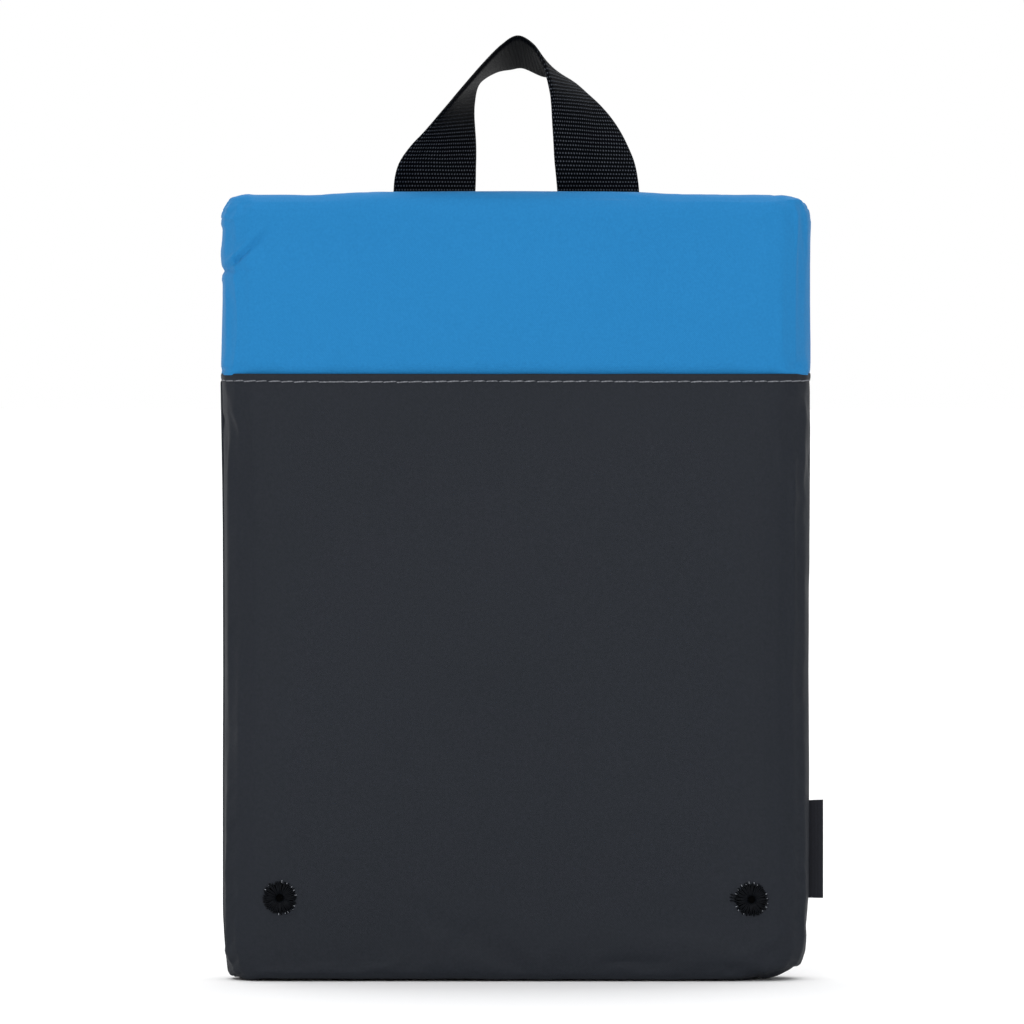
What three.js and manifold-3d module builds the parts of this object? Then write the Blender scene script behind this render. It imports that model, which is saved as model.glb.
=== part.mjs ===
// Packable backpack, folded flat and slipped into its own storage sleeve.
// Millimetres, +Z up. The front faces -Y and the origin is the middle of the flat base.

import * as THREE from 'three';
import { mergeVertices } from 'three/addons/utils/BufferGeometryUtils.js';
import Module from 'manifold-3d';

const wasm = await Module();
wasm.setup();

// Fits between pieces
const pieceGap = 0.3;
const packGap = 0.4;

// Storage sleeve
const sleeveWidth = 179.6;
const sleeveHeight = 185.2;
const sleeveDepth = 32;
const sleeveWall = 1.2;
const sideRoll = 14;
const sideFlat = 4;
const baseWrap = 6;
const hemHeight = 2.4;
const hemPuff = 0.3;

// Folded pack
const packHeight = 240.3;
const packWall = 2;
const rearDrop = 1.6;
const splitGap = 2.1;
const crownFlat = 38;
const crownSagReach = 28;
const crownSag = 1.4;
const layerWall = 1.8;
const layerSpace = 0.6;
const layerInset = 16.8;
const layerFloor = 7;
const layerTop = 222;

// Haul loop
const webbingWidth = 25;
const webbingThickness = 1.5;
const webbingEdge = 0.6;
const loopSpread = 75.4;
const loopHeight = 47.4;
const loopTuck = 24;
const loopGrip = 6;

// Stitched eyelets in the sleeve's lower corners
const eyeletDiameter = 10.4;
const eyeletHole = 3.4;
const eyeletRim = 0.9;
const eyeletInset = 18;
const eyeletHeight = 24.8;

// Woven tab in the right side seam
const labelHeight = 29.7;
const labelReach = 4.2;
const labelSeat = 3;
const labelThickness = 1.2;
const labelBottom = 24.9;
const labelCorner = 0.8;

// Relief of the cloth: the deepest dent and the highest fold
const reliefDepth = 1;

// Sections of the sleeve from its base to its mouth.
// rise: share of sleeveHeight; left, right: share of half sleeveWidth; depth: share of half sleeveDepth
const sleeveRows = [
  { rise: 0, left: 0.955, right: 0.815, depth: 0.87 },
  { rise: 0.006, left: 0.965, right: 0.882, depth: 0.9 },
  { rise: 0.0125, left: 0.973, right: 0.918, depth: 0.93 },
  { rise: 0.022, left: 0.978, right: 0.964, depth: 0.955 },
  { rise: 0.038, left: 0.981, right: 0.978, depth: 0.98 },
  { rise: 0.068, left: 0.986, right: 0.987, depth: 1 },
  { rise: 0.086, left: 0.989, right: 0.985, depth: 1 },
  { rise: 0.115, left: 0.992, right: 0.993, depth: 1 },
  { rise: 0.2, left: 0.992, right: 0.996, depth: 1 },
  { rise: 0.34, left: 0.992, right: 0.998, depth: 0.99 },
  { rise: 0.52, left: 0.992, right: 0.999, depth: 0.985 },
  { rise: 0.72, left: 0.992, right: 0.999, depth: 0.98 },
  { rise: 0.89, left: 0.996, right: 1, depth: 0.97 },
  { rise: 1, left: 1, right: 1, depth: 0.95 },
];

// Sections of the folded pack from the sleeve's mouth to the start of its crown.
// rise: share of that height; left, right and depth as above
const packRows = [
  { rise: 0.035, left: 0.999, right: 0.999, depth: 0.955 },
  { rise: 0.2, left: 0.997, right: 0.998, depth: 0.985 },
  { rise: 0.45, left: 0.995, right: 0.998, depth: 1 },
  { rise: 0.56, left: 0.993, right: 0.998, depth: 1 },
  { rise: 0.605, left: 0.997, right: 0.998, depth: 0.995 },
  { rise: 0.65, left: 0.989, right: 0.998, depth: 0.99 },
  { rise: 0.745, left: 1, right: 0.999, depth: 0.98 },
  { rise: 0.82, left: 0.998, right: 1, depth: 0.97 },
  { rise: 0.9, left: 0.993, right: 1, depth: 0.96 },
];

// Sections over the rolled crown. turn: degrees up the roll; left and right as above
const crownRows = [
  { turn: 0, left: 0.998, right: 0.999 },
  { turn: 20, left: 0.984, right: 0.988 },
  { turn: 41, left: 0.97, right: 0.966 },
  { turn: 60, left: 0.952, right: 0.915 },
  { turn: 74, left: 0.91, right: 0.86 },
  { turn: 84, left: 0.86, right: 0.82 },
];

// Dents and folds of the cloth.
// x: share of half sleeveWidth; rise, along, across: share of packHeight; turn: degrees from level;
// height: share of reliefDepth, outward
const frontRelief = [
  { x: -0.86, rise: 0.955, along: 0.1, across: 0.018, turn: 35, height: -0.7 },
  { x: -0.84, rise: 0.915, along: 0.11, across: 0.03, turn: 32, height: 0.5 },
  { x: -0.9, rise: 0.785, along: 0.05, across: 0.012, turn: 10, height: -0.6 },
  { x: 0.9, rise: 0.79, along: 0.06, across: 0.012, turn: -8, height: -0.5 },
  { x: 0.1, rise: 0.87, along: 0.4, across: 0.05, turn: 0, height: 0.4 },
  { x: -0.2, rise: 0.45, along: 0.4, across: 0.16, turn: 12, height: 0.5 },
  { x: 0.35, rise: 0.62, along: 0.3, across: 0.05, turn: -10, height: -0.4 },
  { x: -0.55, rise: 0.6, along: 0.2, across: 0.04, turn: 24, height: -0.3 },
  { x: 0.5, rise: 0.3, along: 0.25, across: 0.06, turn: 14, height: 0.35 },
];
const backRelief = [
  { x: 0.3, rise: 0.86, along: 0.3, across: 0.03, turn: 8, height: 0.6 },
  { x: -0.5, rise: 0.9, along: 0.2, across: 0.02, turn: -20, height: -0.6 },
  { x: 0, rise: 0.4, along: 0.4, across: 0.14, turn: -8, height: 0.6 },
  { x: 0.5, rise: 0.55, along: 0.25, across: 0.04, turn: 30, height: -0.5 },
  { x: -0.6, rise: 0.25, along: 0.2, across: 0.04, turn: 22, height: -0.4 },
];

// The haul loop from its left leg over the top to its right leg.
// x: share of half loopSpread; rise: share of loopHeight, both of the strap's middle;
// faceX, faceZ: what shows of the strap's width from the front, as shares of webbingWidth
const loopRows = [
  { x: -0.655, rise: 0, faceX: -1, faceZ: 0 },
  { x: -0.637, rise: 0.148, faceX: -0.96, faceZ: 0.01 },
  { x: -0.589, rise: 0.278, faceX: -0.82, faceZ: -0.01 },
  { x: -0.528, rise: 0.407, faceX: -0.61, faceZ: -0.04 },
  { x: -0.456, rise: 0.544, faceX: -0.38, faceZ: -0.05 },
  { x: -0.369, rise: 0.669, faceX: -0.22, faceZ: -0.08 },
  { x: -0.21, rise: 0.789, faceX: -0.13, faceZ: 0.11 },
  { x: -0.069, rise: 0.871, faceX: -0.11, faceZ: 0.3 },
  { x: 0.052, rise: 0.892, faceX: -0.08, faceZ: 0.4 },
  { x: 0.18, rise: 0.85, faceX: -0.14, faceZ: 0.38 },
  { x: 0.276, rise: 0.81, faceX: -0.22, faceZ: 0.24 },
  { x: 0.366, rise: 0.732, faceX: -0.34, faceZ: 0.12 },
  { x: 0.442, rise: 0.638, faceX: -0.48, faceZ: 0.06 },
  { x: 0.507, rise: 0.536, faceX: -0.66, faceZ: 0.06 },
  { x: 0.564, rise: 0.417, faceX: -0.81, faceZ: 0.06 },
  { x: 0.611, rise: 0.287, faceX: -0.92, faceZ: 0.05 },
  { x: 0.646, rise: 0.15, faceX: -0.99, faceZ: 0.02 },
  { x: 0.668, rise: 0, faceX: -1, faceZ: 0 },
];

// Facets
const faceSteps = 9;
const rollSteps = 4;
const splitSteps = 2;
const loopStepsPerRow = 2;
const eyeletSides = 24;

const clothBlue = new THREE.MeshStandardMaterial({ color: '#2e86c8', roughness: 0.75, metalness: 0 });
const clothInner = new THREE.MeshStandardMaterial({ color: '#2a76b2', roughness: 0.85, metalness: 0 });
const clothCoated = new THREE.MeshStandardMaterial({ color: '#34363b', roughness: 0.6, metalness: 0 });
const webbing = new THREE.MeshStandardMaterial({ color: '#16181b', roughness: 0.9, metalness: 0 });
const thread = new THREE.MeshStandardMaterial({ color: '#15171a', roughness: 0.8, metalness: 0 });
const wovenTab = new THREE.MeshStandardMaterial({ color: '#22232b', roughness: 0.85, metalness: 0 });

const quarterTurn = Math.PI / 2;
const halfWidth = sleeveWidth / 2;
const halfDepth = sleeveDepth / 2;
const eyeletBarrel = eyeletHole / 2 + eyeletRim;
const eyeletSpacing = sleeveWidth - 2 * eyeletInset;
const layerWidth = sleeveWidth - 2 * layerInset;

// A value between two table rows, by the named column that orders them.
function rowAt(rows, key, value, column) {
  const next = rows.findIndex((row) => row[key] >= value);
  if (next <= 0) {
    return next < 0 ? rows.at(-1)[column] : rows[0][column];
  }
  const low = rows[next - 1];
  const high = rows[next];
  return THREE.MathUtils.mapLinear(value, low[key], high[key], low[column], high[column]);
}

// How far the cloth stands out of its plain section at a place on its front or back.
function reliefAt(rows, x, z) {
  let height = 0;
  for (const row of rows) {
    const turn = THREE.MathUtils.degToRad(row.turn);
    const dx = x - row.x * halfWidth;
    const dz = z - row.rise * packHeight;
    const along = (dx * Math.cos(turn) + dz * Math.sin(turn)) / (row.along * packHeight);
    const across = (dz * Math.cos(turn) - dx * Math.sin(turn)) / (row.across * packHeight);
    height += row.height * Math.exp(-along * along - across * across);
  }
  return height * reliefDepth;
}

// The outer face of one side in plan, from its left end to its right end, with y counted outward.
function facePlan({ left, right, depth, roll }) {
  const points = [];
  for (let step = 0; step <= rollSteps; step++) {
    const turn = (step / rollSteps) * quarterTurn;
    points.push({ x: -left + roll * (1 - Math.cos(turn)), y: sideFlat + (depth - sideFlat) * Math.sin(turn) });
  }
  for (let step = 1; step < faceSteps; step++) {
    points.push({ x: THREE.MathUtils.lerp(-left + roll, right - roll, step / faceSteps), y: depth });
  }
  for (let step = rollSteps; step >= 0; step--) {
    const turn = (step / rollSteps) * quarterTurn;
    points.push({ x: right - roll * (1 - Math.cos(turn)), y: sideFlat + (depth - sideFlat) * Math.sin(turn) });
  }
  return points;
}

// A point of a cloth face in space, with the dents and folds of its side added.
function onCloth(point, side, z, depth) {
  const share = THREE.MathUtils.clamp((point.y - sideFlat) / (depth - sideFlat), 0, 1);
  const relief = share * reliefAt(side < 0 ? frontRelief : backRelief, point.x, z);
  return new THREE.Vector3(point.x, side * (point.y + relief), z);
}

// One closed ring of the sleeve at height z, set in by inset from its outside.
function sleeveRing(row, inset, z) {
  const plan = {
    left: row.left * halfWidth - inset,
    right: row.right * halfWidth - inset,
    depth: row.depth * halfDepth - inset,
    roll: sideRoll - inset,
  };
  const face = facePlan(plan);
  const front = face.map((point) => onCloth(point, -1, z, plan.depth));
  const back = face.map((point) => onCloth(point, 1, z, plan.depth)).reverse();
  return [...front, ...back];
}

// One closed ring of the front (side -1) or rear (side 1) fold of the pack.
function foldRing(row, side, inset, z) {
  const split = splitGap / 2 + inset;
  const corner = sideFlat - split;
  const left = row.left * halfWidth - inset;
  const right = row.right * halfWidth - inset;
  const depth = row.depth * halfDepth - inset;
  const plan = facePlan({ left, right, depth, roll: sideRoll - inset });
  const ring = plan.map((point) => onCloth(point, side, z, depth));
  for (let step = 1; step <= splitSteps; step++) {
    const turn = (step / splitSteps) * quarterTurn;
    const y = sideFlat - corner * Math.sin(turn);
    ring.push(new THREE.Vector3(right - corner * (1 - Math.cos(turn)), side * y, z));
  }
  for (let step = 1; step < faceSteps; step++) {
    const x = THREE.MathUtils.lerp(right - corner, corner - left, step / faceSteps);
    ring.push(new THREE.Vector3(x, side * split, z));
  }
  for (let step = splitSteps; step >= 1; step--) {
    const turn = (step / splitSteps) * quarterTurn;
    const y = sideFlat - corner * Math.sin(turn);
    ring.push(new THREE.Vector3(corner * (1 - Math.cos(turn)) - left, side * y, z));
  }
  return side < 0 ? ring : ring.reverse();
}

// A closed surface through rings of equal size, with a flat end at the first and the last.
function loft(rings) {
  const size = rings[0].length;
  const positions = rings.flat();
  const triangles = [];
  for (let ring = 1; ring < rings.length; ring++) {
    for (let point = 0; point < size; point++) {
      const a = (ring - 1) * size + point;
      const b = (ring - 1) * size + ((point + 1) % size);
      triangles.push(a, b, b + size, a, b + size, a + size);
    }
  }
  const last = (rings.length - 1) * size;
  const first = positions.length;
  positions.push(middleOf(rings[0]), middleOf(rings.at(-1)));
  for (let point = 0; point < size; point++) {
    const next = (point + 1) % size;
    triangles.push(first, next, point);
    triangles.push(first + 1, last + point, last + next);
  }
  const geometry = new THREE.BufferGeometry().setFromPoints(positions);
  geometry.setIndex(triangles);
  return geometry;
}

function middleOf(points) {
  const middle = new THREE.Vector3();
  points.forEach((point) => middle.add(point));
  return middle.divideScalar(points.length);
}

function toSolid(geometry) {
  const bare = geometry.clone();
  bare.deleteAttribute('normal');
  bare.deleteAttribute('uv');
  const merged = mergeVertices(bare, 1e-4);
  return new wasm.Manifold(new wasm.Mesh({
    numProp: 3,
    vertProperties: new Float32Array(merged.attributes.position.array),
    triVerts: new Uint32Array(merged.index.array),
  }));
}

function toGeometry(solid) {
  const mesh = solid.getMesh();
  const geometry = new THREE.BufferGeometry();
  geometry.setAttribute('position', new THREE.BufferAttribute(mesh.vertProperties, 3));
  geometry.setIndex(new THREE.BufferAttribute(mesh.triVerts, 1));
  return geometry;
}

// A box between two corners, as a cutting solid.
function block(low, high) {
  const size = new THREE.Vector3().subVectors(high, low);
  const middle = new THREE.Vector3().addVectors(low, high).multiplyScalar(0.5);
  return toSolid(new THREE.BoxGeometry(size.x, size.y, size.z).translate(middle.x, middle.y, middle.z));
}

function piece(name, geometry, material) {
  const mesh = new THREE.Mesh(geometry, material);
  mesh.name = name;
  return mesh;
}

// The height of a sleeve section on the sleeve's inside, above its floor.
function innerHeight(rise, floor) {
  return floor + rise * (sleeveHeight - floor);
}

// The cloth pouch in one piece: outside up to its mouth, then down the inside to its floor.
function sleevePouch() {
  const outside = sleeveRows.map((row) => sleeveRing(row, 0, row.rise * sleeveHeight));
  const inside = sleeveRows.map((row) => sleeveRing(row, sleeveWall, innerHeight(row.rise, sleeveWall)));
  return toSolid(loft([...outside, ...inside.reverse()]));
}

// The pouch is sewn from a front panel, which wraps under the base, and a back panel.
function sleevePanels() {
  const reach = sleeveWidth;
  const pouch = sleevePouch();
  const panelTop = sleeveHeight - hemHeight - pieceGap;
  const body = pouch.subtract(block(
    new THREE.Vector3(-reach, -reach, panelTop),
    new THREE.Vector3(reach, reach, sleeveHeight + reach),
  ));
  const behind = (y, z) => block(new THREE.Vector3(-reach, y, z), new THREE.Vector3(reach, reach, reach * 2));
  const labelSlot = block(
    new THREE.Vector3(halfWidth - labelSeat - sleeveWall, -labelThickness / 2 - pieceGap, labelBottom - pieceGap),
    new THREE.Vector3(halfWidth + reach, labelThickness / 2 + pieceGap, labelBottom + labelHeight + pieceGap),
  );
  let front = body.subtract(behind(-pieceGap / 2, baseWrap)).subtract(labelSlot);
  for (const side of [-1, 1]) {
    front = front.subtract(toSolid(eyeletCutter(eyeletBarrel + pieceGap, side)));
  }
  const back = body.intersect(behind(pieceGap / 2, baseWrap + pieceGap)).subtract(labelSlot);
  return { front: toGeometry(front), back: toGeometry(back) };
}

// A round cut through the front panel, along the depth, at one eyelet.
function eyeletCutter(radius, side) {
  const cylinder = new THREE.CylinderGeometry(radius, radius, halfDepth, eyeletSides);
  return cylinder.translate(side * eyeletSpacing / 2, -halfDepth, eyeletHeight);
}

// The turned and topstitched edge round the sleeve's mouth.
function mouthHem() {
  const base = sleeveHeight - hemHeight;
  const steps = [0, 0.35, 1];
  const ringAt = (share, inset) => {
    const z = base + share * hemHeight;
    const rise = z / sleeveHeight;
    const row = {
      left: rowAt(sleeveRows, 'rise', rise, 'left'),
      right: rowAt(sleeveRows, 'rise', rise, 'right'),
      depth: rowAt(sleeveRows, 'rise', rise, 'depth'),
    };
    return sleeveRing(row, inset, z);
  };
  const outside = steps.map((share) => ringAt(share, share > 0 && share < 1 ? -hemPuff : 0));
  const inside = steps.map((share) => ringAt(share, sleeveWall)).reverse();
  return closedBand([...outside, ...inside]);
}

// A closed surface through rings that come back to the first one.
function closedBand(rings) {
  const size = rings[0].length;
  const triangles = [];
  for (let ring = 0; ring < rings.length; ring++) {
    for (let point = 0; point < size; point++) {
      const next = (point + 1) % size;
      const above = ((ring + 1) % rings.length) * size;
      triangles.push(ring * size + point, ring * size + next, above + next);
      triangles.push(ring * size + point, above + next, above + point);
    }
  }
  const geometry = new THREE.BufferGeometry().setFromPoints(rings.flat());
  geometry.setIndex(triangles);
  return geometry;
}

// One fold of the pack: a hollow roll of cloth, open at the bottom and closed over its crown.
function packFold(side) {
  const top = packHeight - (side > 0 ? rearDrop : 0);
  const crownDepth = packRows.at(-1).depth;
  const radius = (crownDepth * halfDepth - splitGap / 2) / 2;
  const crownBase = top - radius;
  const inSleeve = sleeveWall + packGap;
  const tucked = sleeveRows.map((row) => ({
    left: row.left - inSleeve / halfWidth,
    right: row.right - inSleeve / halfWidth,
    depth: row.depth - inSleeve / halfDepth,
    z: innerHeight(row.rise, inSleeve),
  }));
  const shown = packRows.map((row) => ({ ...row, z: sleeveHeight + row.rise * (crownBase - sleeveHeight) }));
  const body = [...tucked, ...shown];
  const bodyRing = (row, inset) => foldRing(row, side, inset, row.z).map((point) => sagged(point, row.z, top));
  const crownRing = (row, inset) => {
    const turn = THREE.MathUtils.degToRad(row.turn);
    const z = crownBase + (radius - inset) * Math.sin(turn);
    const middle = side * (radius + splitGap / 2);
    const ring = foldRing({ ...row, depth: crownDepth }, side, inset, z);
    return ring.map((point) => {
      const y = middle + (point.y - middle) * Math.cos(turn);
      return sagged(new THREE.Vector3(point.x, y, z), z, top);
    });
  };
  const outside = [
    ...body.map((row) => bodyRing(row, 0)),
    ...crownRows.map((row) => crownRing(row, 0)),
  ];
  const innerBody = body.filter((row, index) => index % 3 === 0 || row.z >= sleeveHeight - hemHeight);
  const inside = [
    ...innerBody.map((row) => bodyRing(row, packWall)),
    ...crownRows.map((row) => crownRing(row, packWall)),
  ];
  return loft([...inside.reverse(), ...outside]);
}

// The crown falls away a little beyond the haul loop, towards both sides.
function sagged(point, z, top) {
  const high = THREE.MathUtils.smoothstep(z, sleeveHeight, top);
  const out = THREE.MathUtils.smoothstep(Math.abs(point.x), crownFlat, crownFlat + crownSagReach);
  return new THREE.Vector3(point.x, point.y, point.z - crownSag * high * out);
}

// Cloth folded to and fro inside a fold of the pack, three layers deep.
function foldedLayers(side) {
  const near = splitGap / 2 + packWall + layerSpace;
  const pitch = layerWall + layerSpace;
  const turn = layerWall;
  const layerEdge = (layer) => near + layer * pitch;
  const outline = [
    [layerEdge(0), layerFloor],
    [layerEdge(0) + layerWall, layerFloor],
    [layerEdge(0) + layerWall, layerTop - turn],
    [layerEdge(1), layerTop - turn],
    [layerEdge(1), layerFloor],
    [layerEdge(2) + layerWall, layerFloor],
    [layerEdge(2) + layerWall, layerTop],
    [layerEdge(2), layerTop],
    [layerEdge(2), layerFloor + turn],
    [layerEdge(1) + layerWall, layerFloor + turn],
    [layerEdge(1) + layerWall, layerTop],
    [layerEdge(0), layerTop],
  ];
  const shape = new THREE.Shape(outline.map(([y, z]) => new THREE.Vector2(side * y, z)));
  return new THREE.ExtrudeGeometry(shape, { depth: layerWidth, bevelEnabled: false });
}

// Turns an extrusion's outline into the depth-height plane, with its length along X.
function layMesh(mesh, start) {
  const basis = new THREE.Matrix4().makeBasis(
    new THREE.Vector3(0, 1, 0),
    new THREE.Vector3(0, 0, 1),
    new THREE.Vector3(1, 0, 0),
  );
  mesh.quaternion.setFromRotationMatrix(basis);
  mesh.position.set(start, 0, 0);
  return mesh;
}

// The middle of the strap and the direction of its width, at each row of the loop's table.
function loopPath() {
  const below = (row, tuck) => ({ ...row, tuck });
  const first = loopRows[0];
  const last = loopRows.at(-1);
  const rows = [
    below(first, loopTuck),
    below(first, loopGrip),
    ...loopRows,
    below(last, loopGrip),
    below(last, loopTuck),
  ];
  return rows.map((row) => {
    const hidden = Math.sqrt(Math.max(0, 1 - row.faceX ** 2 - row.faceZ ** 2));
    const z = packHeight + row.rise * loopHeight - (row.tuck ?? 0);
    return {
      middle: new THREE.Vector3(row.x * loopSpread / 2, 0, z),
      width: new THREE.Vector3(row.faceX, -hidden, row.faceZ),
    };
  });
}

// The haul loop: flat webbing that makes half a turn on its way over the top.
function carryLoop() {
  const path = loopPath();
  const middles = new THREE.CatmullRomCurve3(path.map((row) => row.middle), false, 'centripetal');
  const widths = new THREE.CatmullRomCurve3(path.map((row) => row.width), false, 'centripetal');
  const steps = (path.length - 1) * loopStepsPerRow;
  const half = webbingWidth / 2;
  const thin = webbingThickness / 2;
  const section = [
    [-half + webbingEdge, -thin],
    [half - webbingEdge, -thin],
    [half, 0],
    [half - webbingEdge, thin],
    [-half + webbingEdge, thin],
    [-half, 0],
  ];
  const rings = [];
  for (let step = 0; step <= steps; step++) {
    const share = step / steps;
    const middle = middles.getPoint(share);
    const along = middles.getTangent(share);
    const width = widths.getPoint(share).normalize();
    const face = new THREE.Vector3().crossVectors(along, width).normalize();
    rings.push(section.map(([w, n]) => middle.clone().addScaledVector(width, w).addScaledVector(face, n)));
  }
  return loft(rings);
}

// A ring of thread over the edge of the hole, turned about the depth axis.
function eyelet() {
  const outer = eyeletDiameter / 2;
  const bore = eyeletHole / 2;
  const profile = [
    [bore, sleeveWall],
    [bore, -pieceGap - eyeletRim / 2],
    [bore + eyeletRim / 2, -pieceGap - eyeletRim],
    [outer - eyeletRim, -pieceGap - eyeletRim],
    [outer, -pieceGap - eyeletRim / 3],
    [outer, -pieceGap],
    [eyeletBarrel, -pieceGap],
    [eyeletBarrel, sleeveWall],
    [bore, sleeveWall],
  ];
  const points = profile.map(([radius, y]) => new THREE.Vector2(radius, y));
  return new THREE.LatheGeometry(points, eyeletSides);
}

// The outer surface of the sleeve's front at a place, without the rolled sides.
function frontSurface(x, z) {
  return -(rowAt(sleeveRows, 'rise', z / sleeveHeight, 'depth') * halfDepth + reliefAt(frontRelief, x, z));
}

// A folded woven tab, seen from the front as a narrow strip beside the sleeve.
function sideLabel() {
  const low = halfWidth - labelSeat;
  const high = halfWidth + labelReach;
  const outline = new THREE.Shape();
  outline.moveTo(low, 0);
  outline.lineTo(high - labelCorner, 0);
  outline.lineTo(high, labelCorner);
  outline.lineTo(high, labelHeight - labelCorner / 2);
  outline.lineTo(high - labelCorner / 2, labelHeight);
  outline.lineTo(low, labelHeight);
  outline.closePath();
  return new THREE.ExtrudeGeometry(outline, { depth: labelThickness, bevelEnabled: false });
}

const group = new THREE.Group();
const panels = sleevePanels();
group.add(piece('sleeve_front_panel', panels.front, clothCoated));
group.add(piece('sleeve_back_panel', panels.back, clothCoated));
group.add(piece('mouth_hem', mouthHem(), clothCoated));
group.add(piece('front_fold', packFold(-1), clothBlue));
group.add(piece('rear_fold', packFold(1), clothBlue));
for (const [name, side] of [['front_layers', -1], ['rear_layers', 1]]) {
  group.add(layMesh(piece(name, foldedLayers(side), clothInner), -layerWidth / 2));
}
group.add(piece('carry_loop', carryLoop(), webbing));
for (const [name, side] of [['eyelet_left', -1], ['eyelet_right', 1]]) {
  const ring = piece(name, eyelet(), thread);
  const x = side * eyeletSpacing / 2;
  ring.position.set(x, frontSurface(x, eyeletHeight), eyeletHeight);
  group.add(ring);
}
const label = piece('side_label', sideLabel(), wovenTab);
label.rotation.x = quarterTurn;
label.position.set(0, labelThickness / 2, labelBottom);
group.add(label);

export default group;
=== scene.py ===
import math
import random

import bmesh
import bpy
import numpy as np
from mathutils import Matrix, Vector, noise


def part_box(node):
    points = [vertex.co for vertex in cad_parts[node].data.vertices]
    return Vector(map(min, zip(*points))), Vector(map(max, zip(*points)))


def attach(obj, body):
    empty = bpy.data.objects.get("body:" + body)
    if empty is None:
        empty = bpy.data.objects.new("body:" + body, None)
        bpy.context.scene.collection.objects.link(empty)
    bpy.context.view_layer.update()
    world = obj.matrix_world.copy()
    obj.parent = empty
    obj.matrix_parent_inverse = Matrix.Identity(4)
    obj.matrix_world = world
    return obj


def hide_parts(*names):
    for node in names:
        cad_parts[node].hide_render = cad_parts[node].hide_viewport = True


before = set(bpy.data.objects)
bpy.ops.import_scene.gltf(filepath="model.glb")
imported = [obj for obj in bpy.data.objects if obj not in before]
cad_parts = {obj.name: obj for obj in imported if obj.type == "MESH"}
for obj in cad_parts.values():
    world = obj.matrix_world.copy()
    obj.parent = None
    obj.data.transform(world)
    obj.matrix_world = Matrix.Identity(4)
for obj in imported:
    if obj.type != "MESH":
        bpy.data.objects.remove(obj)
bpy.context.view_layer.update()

mm = 0.001
photo = {"size": 1024, "pixel": 0.305 * mm, "middleX": 515.5, "baseY": 978.4}  # the photograph's scale
random.seed(7)


# General helpers

def pickOnly(*objects):
    bpy.ops.object.select_all(action="DESELECT")
    for item in objects:
        item.select_set(True)
    bpy.context.view_layer.objects.active = objects[-1]


def applyModifier(piece, kind, **settings):
    pickOnly(piece)
    modifier = piece.modifiers.new(kind.title(), kind)
    for key, value in settings.items():
        setattr(modifier, key, value)
    bpy.ops.object.modifier_apply(modifier=modifier.name)


def editParts(piece, kind, chosen, action):
    # selects faces by centre and normal, or edges by their two ends, then runs the operators in edit mode
    pickOnly(piece)
    bpy.ops.object.mode_set(mode="EDIT")
    bpy.ops.mesh.select_mode(type=kind)
    bpy.ops.mesh.select_all(action="DESELECT")
    bpy.ops.object.mode_set(mode="OBJECT")
    if kind == "FACE":
        for face in piece.data.polygons:
            face.select = chosen(face.center, face.normal)
    else:
        for edge in piece.data.edges:
            edge.select = chosen(*(piece.data.vertices[index].co for index in edge.vertices))
    bpy.ops.object.mode_set(mode="EDIT")
    action()
    bpy.ops.object.mode_set(mode="OBJECT")


def newPiece(name, points, faces, uvs=None):
    mesh = bpy.data.meshes.new(name)
    mesh.from_pydata([tuple(p) for p in points], [], faces)
    if uvs:
        layer = mesh.uv_layers.new(name="cloth")
        for loop in mesh.loops:
            layer.data[loop.index].uv = uvs[loop.vertex_index]
    piece = bpy.data.objects.new(name, mesh)
    bpy.context.scene.collection.objects.link(piece)
    mesh.update()
    return piece


def smoothShade(piece, degrees=60):
    pickOnly(piece)
    bpy.ops.object.shade_smooth_by_angle(angle=math.radians(degrees))


def finishPiece(piece, materials, nodes=()):
    # a piece that was joined from finished parts keeps their materials
    if materials:
        piece.data.materials.clear()
        for material in materials:
            piece.data.materials.append(material)
    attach(piece, "root")
    if nodes:
        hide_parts(*nodes)


def lerp(a, b, share):
    return a + (b - a) * share


def softStep(low, high, values):
    share = np.clip((values - low) / (high - low), 0, 1)
    return share * share * (3 - 2 * share)


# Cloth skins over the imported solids

def guideFrom(nodes):
    copies = []
    for name in nodes:
        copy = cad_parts[name].copy()
        copy.data = copy.data.copy()
        copy.parent = None
        for key in list(copy.keys()):
            del copy[key]
        bpy.context.scene.collection.objects.link(copy)
        copies.append(copy)
    pickOnly(*copies)
    if len(copies) > 1:
        bpy.ops.object.join()
    return bpy.context.view_layer.objects.active


def clothSkin(name, nodes, size):
    # a rounded box of even quads, drawn onto the outside of the solids
    boxes = [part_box(node) for node in nodes]
    low = Vector(min(box[0][i] for box in boxes) for i in range(3))
    high = Vector(max(box[1][i] for box in boxes) for i in range(3))
    margin = Vector((1, 1, 1)) * size["margin"]
    low, high = low - margin, high + margin
    bpy.ops.object.select_all(action="DESELECT")
    bpy.ops.mesh.primitive_cube_add(size=1, location=(low + high) / 2)
    skin = bpy.context.object
    skin.name = skin.data.name = name
    skin.scale = high - low
    bpy.ops.object.transform_apply(location=True, rotation=True, scale=True)
    editParts(
        skin, "EDGE",
        lambda a, b: abs(a.z - b.z) > abs(a.x - b.x) + abs(a.y - b.y),
        lambda: bpy.ops.mesh.bevel(offset=size["corner"], segments=6),
    )
    applyModifier(skin, "REMESH", mode="VOXEL", voxel_size=size["grid"])
    if "mouth" in size:
        cutAt(skin, size["mouth"] + size["spare"], clear=True)
    guide = guideFrom(nodes)
    applyModifier(skin, "SHRINKWRAP", target=guide, wrap_method="NEAREST_SURFACEPOINT")
    smoothInside(skin, size, size["smooth"])
    applyModifier(skin, "DISPLACE", strength=1.3 * mm, mid_level=0)  # clear of the inner face of a thin wall
    applyModifier(skin, "SHRINKWRAP", target=guide, wrap_method="NEAREST_SURFACEPOINT")
    bpy.data.objects.remove(guide)
    smoothInside(skin, size, 1)
    return skin


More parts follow.
